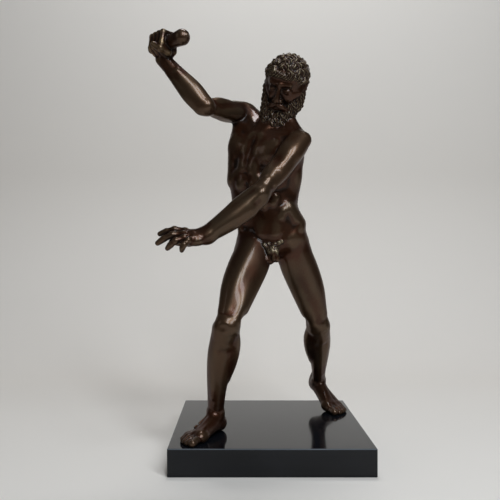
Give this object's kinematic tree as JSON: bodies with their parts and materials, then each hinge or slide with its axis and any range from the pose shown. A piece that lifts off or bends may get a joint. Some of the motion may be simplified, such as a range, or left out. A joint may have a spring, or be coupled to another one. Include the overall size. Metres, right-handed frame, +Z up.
{
  "type": "bronze statuette of a classical figure",
  "caption": "Dark bronze statuette of a striding bearded nude figure with a club stub in a raised fist, on a square slab of black stone.",
  "frame": {"origin": "centre of the plinth's underside", "axes": "+Z up; -Y is the front, where the figure's right toes point; +X is the figure's left"},
  "size_m": [0.2496, 0.235, 0.4833],
  "materials": {
    "patinated_bronze": "dark brown patina, waxed to a soft gloss",
    "black_stone": "polished black stone"
  },
  "bodies": {
    "root": {"hercules_figure": "patinated_bronze", "plinth": "black_stone"}
  },
  "joints": []
}
